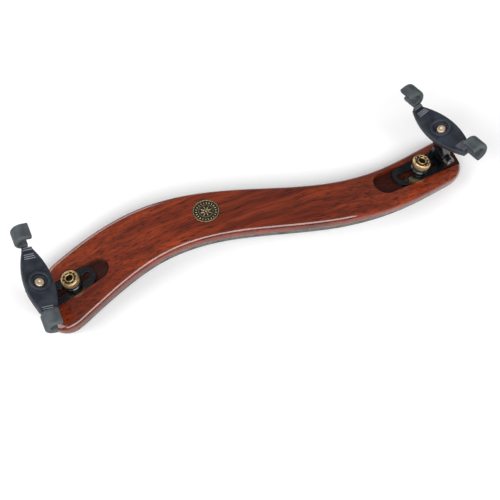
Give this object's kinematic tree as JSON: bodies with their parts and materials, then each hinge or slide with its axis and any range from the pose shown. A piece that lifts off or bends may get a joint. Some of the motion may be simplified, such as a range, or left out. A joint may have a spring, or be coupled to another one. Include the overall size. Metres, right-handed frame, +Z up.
{
  "type": "violin shoulder rest",
  "caption": "Arched S-shaped wooden shoulder rest on a foam pad, with sliding end brackets, folding feet and turning forks with rubber-covered claws.",
  "frame": {"origin": "under the middle of the bounding box, on the surface that the two drooping ends of the pad stand on", "axes": "+X along the body from its wide end to its narrow end, +Y to the far side, +Z up towards the violin"},
  "size_m": [0.2428, 0.0674, 0.0475],
  "materials": {
    "varnished_wood": "high-gloss red-brown varnish over fine straight grain",
    "foam": "dark grey closed-cell foam",
    "badge_metal": "aged pewter-gold with dark filled recesses",
    "black_metal": "glossy black",
    "brass": "polished, slightly worn",
    "steel": "plain",
    "black_plastic": "fine matt texture",
    "rubber": "matt, slightly dusty"
  },
  "bodies": {
    "rest_body": {"body_plate": "varnished_wood", "foam_pad": "foam", "badge": "badge_metal", "left_clamp_stud": "brass", "right_clamp_stud": "brass"},
    "left_bracket_body": {"left_end_bracket": "black_metal", "left_hinge_pin": "steel"},
    "left_collar_body": {"left_clamp_collar": "black_metal"},
    "left_nut_body": {"left_thumb_nut": "brass"},
    "left_foot_body": {"left_foot_block": "black_plastic", "left_foot_insert": "brass"},
    "left_screw_body": {"left_fork_screw": "brass"},
    "left_fork_body": {"left_fork": "black_plastic", "left_rubber_cover_far": "rubber", "left_rubber_cover_near": "rubber"},
    "right_bracket_body": {"right_end_bracket": "black_metal", "right_hinge_pin": "steel"},
    "right_collar_body": {"right_clamp_collar": "black_metal"},
    "right_nut_body": {"right_thumb_nut": "brass"},
    "right_foot_body": {"right_foot_block": "black_plastic", "right_foot_insert": "brass"},
    "right_screw_body": {"right_fork_screw": "brass"},
    "right_fork_body": {"right_fork": "black_plastic", "right_rubber_cover_far": "rubber", "right_rubber_cover_near": "rubber"}
  },
  "joints": [
    {"name": "left_bracket_slide", "type": "slide", "parent": "rest_body", "child": "left_bracket_body", "axis": [-0.9674, -0.1547, -0.2003], "range_m": [-0.0073, 0.0082]},
    {"name": "left_nut_lift", "type": "slide", "parent": "rest_body", "child": "left_collar_body", "axis": [-0.2028, 0, 0.9792], "range_m": [-0.00001, 0.00101]},
    {"name": "left_nut_spin", "type": "hinge", "parent": "left_collar_body", "child": "left_nut_body", "pos_m": [-0.0959, 0.00198, 0.0119], "axis": [-0.2028, 0, 0.9792], "range_deg": [0, 720]},
    {"name": "left_foot_fold", "type": "hinge", "parent": "left_bracket_body", "child": "left_foot_body", "pos_m": [-0.11483, -0.00094, 0.01125], "axis": [-0.1515, 0.988, -0.0314], "range_deg": [0, 30]},
    {"name": "left_screw_height", "type": "slide", "parent": "left_foot_body", "child": "left_screw_body", "axis": [0.1882, -0.1037, 0.9766], "range_m": [-0.00161, 0.00161]},
    {"name": "left_fork_turn", "type": "hinge", "parent": "left_screw_body", "child": "left_fork_body", "pos_m": [-0.11395, -0.00333, 0.03049], "axis": [0.1882, -0.1037, 0.9766], "range_deg": [-720, 720]},
    {"name": "right_bracket_slide", "type": "slide", "parent": "rest_body", "child": "right_bracket_body", "axis": [0.9596, 0.1994, -0.1987], "range_m": [-0.0041, 0.0123]},
    {"name": "right_nut_lift", "type": "slide", "parent": "rest_body", "child": "right_collar_body", "axis": [0.2028, 0, 0.9792], "range_m": [-0.00001, 0.00101]},
    {"name": "right_nut_spin", "type": "hinge", "parent": "right_collar_body", "child": "right_nut_body", "pos_m": [0.0954, -0.00192, 0.01322], "axis": [0.2028, 0, 0.9792], "range_deg": [0, 720]},
    {"name": "right_foot_fold", "type": "hinge", "parent": "right_bracket_body", "child": "right_foot_body", "pos_m": [0.11025, 0.00104, 0.01341], "axis": [0.1952, -0.9799, -0.0404], "range_deg": [0, 30]},
    {"name": "right_screw_height", "type": "slide", "parent": "right_foot_body", "child": "right_screw_body", "axis": [-0.1924, 0.0863, 0.9775], "range_m": [-0.00161, 0.00161]},
    {"name": "right_fork_turn", "type": "hinge", "parent": "right_screw_body", "child": "right_fork_body", "pos_m": [0.10926, 0.00321, 0.03267], "axis": [-0.1924, 0.0863, 0.9775], "range_deg": [-720, 720]}
  ],
  "couplings": [
    {"joint": "left_screw_height", "follows": "left_fork_turn", "m_per_rad": 0.00012732},
    {"joint": "right_screw_height", "follows": "right_fork_turn", "m_per_rad": 0.00012732}
  ]
}
